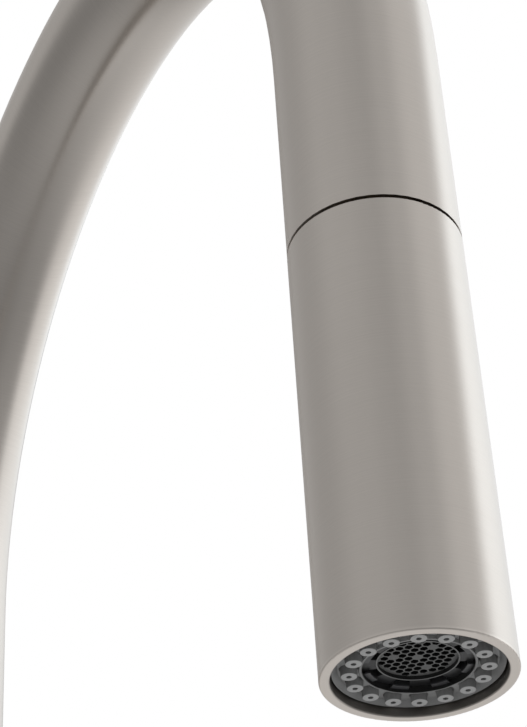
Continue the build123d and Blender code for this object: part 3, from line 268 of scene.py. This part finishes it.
# ---------------------------------------------------------------- materials
# Noise scales are in cycles per metre, and bump depths in metres.
HAIR_ACROSS = 70.0
HAIR_DEPTH = 0.012 * MM
BAND_ACROSS = 50.0
BAND_SHARE = 0.22  # the coarse bands' fineness, as a share of the hairlines'
BAND_WEIGHT = 0.12
CLOUD_SCALE = 26.0
EDGE_TINT = (0.8, 0.8, 0.8, 1)  # how light the metal goes at a grazing angle
ANISOTROPY = 0.85
LEAN = 0.02  # keeps a tangent off the surface's own normal


def brushed(name, colour, along="tube", roughness=0.33, lines=4200.0, mark=0.07, painted_shading=None):
    """Metal brushed round its own axis: hairlines across the axis, glints drawn out along it."""
    made, t, shader = new_material(name)
    x, y, z = t.split(t.place())
    if along == "tube":
        angle, out, length = along_arch(t, x, y, z)
        straight = t.vector(x, out, length)
        tangent = t.vector(LEAN, t.math("MULTIPLY", t.math("SINE", angle), -1.0), t.math("COSINE", angle))
    elif along == "x":
        straight = t.vector(y, z, x)
        tangent = t.vector(1.0, LEAN, 0.0)
    else:
        straight = t.vector(x, y, z)
        tangent = t.vector(LEAN, 0.0, 1.0)
    hair = t.noise(t.stretched(straight, HAIR_ACROSS, lines), scale=1.0, detail=3.0, roughness=0.7)
    band = t.noise(t.stretched(straight, BAND_ACROSS, lines * BAND_SHARE), scale=1.0)
    cloud = t.noise(straight, CLOUD_SCALE)
    grain = t.math("MULTIPLY_ADD", t.math("SUBTRACT", band, 0.5), BAND_WEIGHT, t.math("SUBTRACT", hair, 0.5))
    light = t.ramp(grain, -0.35, 0.35, 1.0 - mark, 1.0 + mark)
    light = t.product(light, t.ramp(cloud, 0.3, 0.7, 0.99, 1.01))
    # Painted light and shade on the colour, where a part has them.
    if painted_shading:
        light = t.product(light, painted_shading(t, x, y, z))
    t.feed(shader.inputs["Base Color"], t.tinted(colour, light))
    shader.inputs["Metallic"].default_value = 1.0
    shader.inputs["Specular Tint"].default_value = EDGE_TINT
    shader.inputs["Anisotropic"].default_value = ANISOTROPY
    t.feed(shader.inputs["Tangent"], tangent)
    t.feed(shader.inputs["Roughness"], t.ramp(hair, 0.25, 0.75, roughness - 0.04, roughness + 0.05))
    t.feed(shader.inputs["Normal"], t.bump(hair, HAIR_DEPTH, 0.5))
    return made


RING_ACROSS = 60.0
PATCH_SCALE = 140.0
RING_DEPTH = 0.02 * MM


def turned(name, colour, roughness=0.28, rings=900.0, mark=0.12, metallic=1.0, thread=None):
    """Machined metal: fine tool rings, slight tarnish in patches, and a wound thread where one is given."""
    made, t, shader = new_material(name)
    where = t.place()
    ring = t.noise(t.stretched(where, RING_ACROSS, rings), scale=1.0, roughness=0.6)
    patch = t.noise(where, PATCH_SCALE, detail=4.0, roughness=0.6)
    dark = t.ramp(patch, 0.35, 0.7, 1.0, 1.0 - mark)
    light = t.product(dark, t.ramp(ring, 0.3, 0.7, 0.94, 1.05))
    t.feed(shader.inputs["Base Color"], t.tinted(colour, light))
    shader.inputs["Metallic"].default_value = metallic
    t.feed(shader.inputs["Roughness"], t.ramp(patch, 0.3, 0.7, roughness, roughness + 0.12))
    surface = t.bump(ring, RING_DEPTH, 0.4)
    if thread:
        surface = wind(t, where, surface, **thread)
    t.feed(shader.inputs["Normal"], surface)
    return made


def wind(t, where, surface, pitch, depth, top, foot):
    """A thread round the riser's axis from foot up to top, over the surface's own bump."""
    x, y, z = t.split(where)
    lead = t.math("DIVIDE", t.math("ARCTAN2", y, x), 2 * math.pi)
    ridge = t.product(t.math("PINGPONG", t.math("ADD", t.math("DIVIDE", z, pitch), lead), 0.5), 2.0)
    cut = t.product(t.ramp(z, foot, foot + pitch), t.ramp(z, top - pitch, top, 1.0, 0.0))
    return t.bump(t.product(ridge, cut), depth, 1.0, surface)


GRAIN_SCALE = 2600.0
GRAIN_DEPTH = 0.01 * MM
FLOW_SCALE = 90.0


def moulded(name, colour, roughness=0.45, mark=0.12, coat=0.0, painted_shading=None, gloss=0.5):
    """Moulded plastic, rubber or ceramic: a fine surface grain, faint flow marks and dust."""
    made, t, shader = new_material(name)
    where = t.place()
    fine = t.noise(where, GRAIN_SCALE, roughness=0.6)
    flow = t.noise(where, FLOW_SCALE, detail=3.0, roughness=0.55)
    light = t.product(t.ramp(flow, 0.3, 0.7, 1.0 - mark, 1.0 + mark), t.ramp(fine, 0.3, 0.7, 0.96, 1.04))
    # Painted light and shade on the colour, where a part has them.
    if painted_shading:
        light = t.product(light, painted_shading(t, *t.split(where)))
    t.feed(shader.inputs["Base Color"], t.tinted(colour, light))
    shader.inputs["Specular IOR Level"].default_value = gloss
    t.feed(shader.inputs["Roughness"], t.ramp(flow, 0.3, 0.7, roughness - 0.05, roughness + 0.07))
    t.feed(shader.inputs["Normal"], t.bump(fine, GRAIN_DEPTH, 0.6))
    shader.inputs["Coat Weight"].default_value = coat
    return made


BRAID_STRANDS = 16.0
BRAID_LAY = 30 * MM  # length of one full wind of a bundle
BRAID_DEPTH = 0.25 * MM
YARN_SCALE = 5200.0
# The riser leans back from beside the water tubes to the axis, between these heights.
RISER_LEAN = (17 * MM, 124 * MM)
RISER_BEND = (124 * MM, 178 * MM)
RISER_FOOT_X = -7.4 * MM
RISER_BEND_X = -2.4 * MM


def round_the_hose(t, x, y, z, stretch):
    """Angle round the hose and length along it, on the stretch named."""
    if stretch == "arch":
        _, out, length = along_arch(t, x, y, z)
        return t.math("ARCTAN2", x, t.math("SUBTRACT", out, ARCH_R)), length
    if stretch == "riser":
        lean = t.ramp(z, *RISER_LEAN, RISER_FOOT_X, RISER_BEND_X)
        bend = t.ramp(z, *RISER_BEND, 0.0, -RISER_BEND_X)
        return t.math("ARCTAN2", y, t.math("SUBTRACT", x, t.math("ADD", lean, bend))), z
    return t.math("ARCTAN2", x, t.math("ADD", y, REACH)), z


def braided(name, colour, stretch):
    """Nylon yarn plaited over the hose: two sets of bundles crossing over and under."""
    made, t, shader = new_material(name)
    x, y, z = t.split(t.place())
    angle, length = round_the_hose(t, x, y, z, stretch)
    u = t.math("DIVIDE", angle, 2 * math.pi)
    v = t.math("DIVIDE", length, BRAID_LAY)
    left = t.product(t.math("ADD", u, v), BRAID_STRANDS)
    right = t.product(t.math("SUBTRACT", u, v), BRAID_STRANDS)
    round_left = t.math("ABSOLUTE", t.math("SINE", t.product(left, math.pi)))
    round_right = t.math("ABSOLUTE", t.math("SINE", t.product(right, math.pi)))
    odd = t.math("MODULO", t.math("ADD", t.math("FLOOR", left), t.math("FLOOR", right)), 2.0)
    over = t.math("GREATER_THAN", t.math("ABSOLUTE", odd), 0.5)
    under = t.math("SUBTRACT", 1.0, over)
    weave = t.math("ADD", t.product(over, round_left), t.product(under, round_right))
    yarn = t.noise(t.vector(x, y, z), YARN_SCALE, roughness=0.6)
    height = t.math("MULTIPLY_ADD", yarn, 0.25, weave)
    bundle = t.mix(yarn, shade(colour, 0.9), shade(colour, 1.5))
    # Painted shade: the yarn goes dark, to 0.28, in the weave's low valleys between and under the bundles.
    t.feed(shader.inputs["Base Color"], t.mix(t.ramp(height, 0.15, 0.95), shade(colour, 0.28), bundle))
    shader.inputs["Roughness"].default_value = 0.55
    shader.inputs["Sheen Weight"].default_value = 0.2
    t.feed(shader.inputs["Normal"], t.bump(height, BRAID_DEPTH, 0.8))
    return made


NICKEL = (0.676, 0.629, 0.582)
BRASS = (0.72, 0.53, 0.27)
STEEL = (0.58, 0.58, 0.57)
COPPER = (0.8, 0.44, 0.3)
MAGNET = (0.1, 0.1, 0.11)
BLACK = (0.016, 0.016, 0.017)
RUBBER = (0.014, 0.014, 0.014)
WHITE = (0.74, 0.74, 0.71)
CERAMIC = (0.86, 0.85, 0.8)
INDEX = (0.3, 0.3, 0.3)
PLATE = (0.27, 0.27, 0.268)
SILICONE = (0.37, 0.37, 0.367)
COMB = (0.17, 0.17, 0.168)
HOUSING = (0.018, 0.018, 0.019)
YARN = (0.27, 0.275, 0.285)
SHANK_THREAD = {"pitch": 1.5 * MM, "depth": 0.8 * MM, "top": -3 * MM, "foot": -62 * MM}
SCREW_THREAD = {"pitch": 0.8 * MM, "depth": 0.4 * MM, "top": -30 * MM, "foot": -54.5 * MM}

paint = {
    "brushed_nickel": brushed("nickel_tube", NICKEL),
    "brass": turned("brass", BRASS),
    "steel": turned("steel", STEEL, roughness=0.3),
    "copper": turned("copper", COPPER, roughness=0.3, rings=200.0),
    "black_plastic": moulded("black_plastic", BLACK, roughness=0.38),
    "white_plastic": moulded("white_plastic", WHITE, roughness=0.42, mark=0.05),
    "grey_plastic": moulded("grey_plastic", PLATE, roughness=0.36, mark=0.08, painted_shading=plate_painted_shade_and_light),
    "grey_silicone": moulded("grey_silicone", SILICONE, roughness=0.52, mark=0.06, painted_shading=post_painted_shade_and_light),
    "button_plastic": brushed("button_nickel", NICKEL, "z", roughness=0.36, lines=2200.0, mark=0.05),
    "index_plastic": moulded("index_plastic", INDEX, roughness=0.4, mark=0.05),
    "ceramic": moulded("ceramic", CERAMIC, roughness=0.16, mark=0.03, coat=0.3),
    "black_rubber": moulded("black_rubber", RUBBER, roughness=0.68),
    "magnet": turned("magnet", MAGNET, roughness=0.4, metallic=0.8),
    "braid": braided("braid", YARN, "leg"),
}
nickel_cross = brushed("nickel_cross", NICKEL, "x")
special = {
    "handle_hub": nickel_cross,
    "bonnet_ring": nickel_cross,
    "spray_shell": brushed("nickel_shell", NICKEL, painted_shading=shell_painted_shade_and_light),
    "aerator_honeycomb": moulded(
        "honeycomb_plastic", COMB, roughness=0.4, mark=0.06, painted_shading=comb_painted_shade, gloss=0.2
    ),
    "aerator_housing": moulded(
        "housing_plastic", HOUSING, roughness=0.34, mark=0.12, painted_shading=housing_painted_light, gloss=0.4
    ),
    "mounting_shank": turned("threaded_brass", BRASS, thread=SHANK_THREAD),
    "thrust_screws": turned("threaded_steel", STEEL, roughness=0.3, thread=SCREW_THREAD),
    "hose_arch": braided("braid_arch", YARN, "arch"),
    "hose_riser": braided("braid_riser", YARN, "riser"),
}
for name, piece in nodes.items():
    material = special.get(name, paint[slot_of[name]])
    for cell in piece.material_slots:
        cell.material = material


# ---------------------------------------------------------------- pieces that change shape with a joint
HOSE_R = 6 * MM
HOSE_SIDES = 48
HOSE_RINGS = 91


def add(name, mesh, slot):
    """A new piece of the part, with the material of its slot."""
    mesh.materials.clear()
    mesh.materials.append(paint[slot])
    made = bpy.data.objects.new(name, mesh)
    scene.collection.objects.link(made)
    return made


def hose(name, top, low):
    """An upright stretch of hose on the head's axis, with rings enough to follow the head when it is pulled."""
    verts = []
    faces = []
    for i in range(HOSE_RINGS):
        z = top + (low - top) * i / (HOSE_RINGS - 1)
        for k in range(HOSE_SIDES):
            a = 2 * math.pi * k / HOSE_SIDES
            verts.append((math.cos(a) * HOSE_R, -REACH - math.sin(a) * HOSE_R, z))
    for i in range(HOSE_RINGS - 1):
        ring = i * HOSE_SIDES
        below = ring + HOSE_SIDES
        for k in range(HOSE_SIDES):
            n = (k + 1) % HOSE_SIDES
            faces.append((ring + k, ring + n, below + n, below + k))
    mesh = bpy.data.meshes.new(name)
    mesh.from_pydata(verts, [], faces)
    mesh.polygons.foreach_set("use_smooth", [True] * len(mesh.polygons))
    return add(name, mesh, "braid")


tail = hose("hose_tail_braid", tail_high.z, tail_low.z)
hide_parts("hose_tail")
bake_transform(tail)


def spring(node):
    """The node's own coil, a spring that shortens, copied as a separate piece; the node itself is hidden."""
    made = add(node + "_coil", nodes[node].data.copy(), slot_of[node])
    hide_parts(node)
    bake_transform(made)


spring("diverter_spring")
spring("check_valve_spring")

# ---------------------------------------------------------------- studio
PULL = 0.4
FLOOR_Z = MOUTH_Z - PULL - 0.5 * MM
FLOOR_R = 20.0
FLOOR_SIDES = 96
FLOOR_CLOUDS = 6.0
FLOOR_DIM = (0.8, 0.79, 0.78, 1)
FLOOR_PALE = (0.86, 0.855, 0.845, 1)


def floor():
    """A wide round pale floor, low enough for the head pulled out on its hose."""
    mesh = bpy.data.meshes.new("floor")
    turns = [2 * math.pi * k / FLOOR_SIDES for k in range(FLOOR_SIDES)]
    edge = [(FLOOR_R * math.cos(a), FLOOR_R * math.sin(a), FLOOR_Z) for a in turns]
    mesh.from_pydata(edge, [], [tuple(range(FLOOR_SIDES))])
    made = bpy.data.objects.new("floor", mesh)
    scene.collection.objects.link(made)
    material, t, shader = new_material("floor")
    soft = t.noise(t.place(), FLOOR_CLOUDS, detail=3.0)
    t.feed(shader.inputs["Base Color"], t.mix(soft, FLOOR_DIM, FLOOR_PALE))
    shader.inputs["Roughness"].default_value = 0.7
    mesh.materials.append(material)
    made.visible_glossy = False


floor()

# Soft light round the studio, in degrees: azimuth from +X towards +Y, elevation above the horizon.
WHITE_LIGHT = (1, 1, 1, 1)
GROUND_LIGHT = 0.28
ROOM_LIGHT = 0.57
ROOM_RISE = (6.0, 30.0)
KEY_LIGHT = 0.87
KEY_RISE = (-78.0, 32.0)
KEY_TOP = 0.2
KEY_TOP_RISE = (18.0, 30.0)
KEY_TINT = (0.92, 1.0, 1.06, 1)
KEY_TINT_RISE = (5.0, 28.0)
# The key is a tall leaning sheet of light: its two sides move with elevation.
KEY_FOOT = -40.0
KEY_WAIST = 24.0
KEY_HEAD = 46.0
KEY_LEFT_LEAN = -34.0
KEY_LEFT_BACK = 30.0
KEY_RIGHT = (86.0, 52.0)
KEY_LEFT_SOFT = 14.0
KEY_RIGHT_SOFT = 11.0
CARDS = (  # name, middle, half width, softness, elevations where it starts and is full, brightness
    ("key edge", 4.0, 10.0, 24.0, 0.0, 28.0, 0.10),
    ("fill", -45.0, 30.0, 30.0, -40.0, 30.0, 0.22),
    ("window", -92.0, 9.0, 12.0, 10.0, 28.0, 0.07),
    ("camera", -117.0, 4.0, 16.0, 10.0, 28.0, -0.035),
    ("side wall", -168.0, 24.0, 20.0, 10.0, 28.0, 0.045),
    ("flag", 137.0, 18.0, 24.0, 10.0, 28.0, -0.06),
    ("back", 88.0, 12.0, 20.0, -50.0, 30.0, 0.30),
    ("bounce", 108.0, 38.0, 26.0, -6.0, -32.0, 0.15),
    ("camera side", -98.0, 44.0, 30.0, -15.0, -45.0, -0.06),
    ("ceiling", -115.0, 70.0, 30.0, 40.0, 55.0, -0.11),
    ("floor", 0.0, 200.0, 1.0, -25.0, -75.0, 0.08),
)


def key_light(t, azimuth, elevation):
    left = t.ramp(elevation, KEY_FOOT, KEY_WAIST, 0.0, KEY_LEFT_LEAN)
    left = t.math("ADD", left, t.ramp(elevation, KEY_WAIST, KEY_HEAD, 0.0, KEY_LEFT_BACK))
    right = t.ramp(elevation, KEY_FOOT, KEY_WAIST, *KEY_RIGHT)
    from_left = t.math("SUBTRACT", azimuth, left)
    from_right = t.math("SUBTRACT", azimuth, right)
    inside = t.ramp(from_left, -KEY_LEFT_SOFT, KEY_LEFT_SOFT, smooth=True)
    outside = t.ramp(from_right, -KEY_RIGHT_SOFT, KEY_RIGHT_SOFT, 1.0, 0.0, smooth=True)
    height = t.math(
        "ADD",
        t.ramp(elevation, *KEY_RISE, 0.0, KEY_LIGHT),
        t.ramp(elevation, *KEY_TOP_RISE, 0.0, KEY_TOP),
    )
    return t.product(inside, outside, height)


def add_card(t, total, azimuth, elevation, middle, half, soft, start, full, bright):
    """The light with one card more: a soft-edged sector that fades in from elevation start to full."""
    aside = t.math("SUBTRACT", azimuth, middle)
    away = t.math("ABSOLUTE", t.math("WRAP", aside, 180.0, -180.0))
    card = t.ramp(away, half - soft / 2, half + soft / 2, bright, 0.0, smooth=True)
    if start < full:
        lit = t.ramp(elevation, start, full)
    else:
        lit = t.ramp(elevation, full, start, 1.0, 0.0)
    return t.math("MULTIPLY_ADD", card, lit, total)


def studio():
    """The room's light, which the camera itself sees as plain white."""
    world = bpy.data.worlds.new("studio")
    world.use_nodes = True
    scene.world = world
    t = Tree(world.node_tree)
    room = world.node_tree.nodes["Background"]
    out = world.node_tree.nodes["World Output"]
    x, y, z = t.split(t.node("ShaderNodeTexCoord").outputs["Generated"])
    azimuth = t.product(t.math("ARCTAN2", y, x), 180 / math.pi)
    elevation = t.product(t.math("ARCSINE", z), 180 / math.pi)
    key = key_light(t, azimuth, elevation)
    total = t.math("ADD", key, t.ramp(elevation, *ROOM_RISE, GROUND_LIGHT, ROOM_LIGHT, smooth=True))
    for _, *card in CARDS:
        total = add_card(t, total, azimuth, elevation, *card)
    share = t.product(t.math("DIVIDE", key, total), t.ramp(elevation, *KEY_TINT_RISE))
    t.feed(room.inputs["Color"], t.mix(share, WHITE_LIGHT, KEY_TINT))
    t.feed(room.inputs["Strength"], total)
    white = t.node("ShaderNodeBackground")
    white.inputs["Strength"].default_value = 1.0
    white.inputs["Color"].default_value = WHITE_LIGHT
    path = t.node("ShaderNodeLightPath")
    chosen = t.node("ShaderNodeMixShader")
    t.feed(chosen.inputs[0], path.outputs["Is Camera Ray"])
    t.feed(chosen.inputs[1], room.outputs[0])
    t.feed(chosen.inputs[2], white.outputs[0])
    t.feed(out.inputs["Surface"], chosen.outputs[0])


studio()
scene.view_settings.view_transform = "Standard"
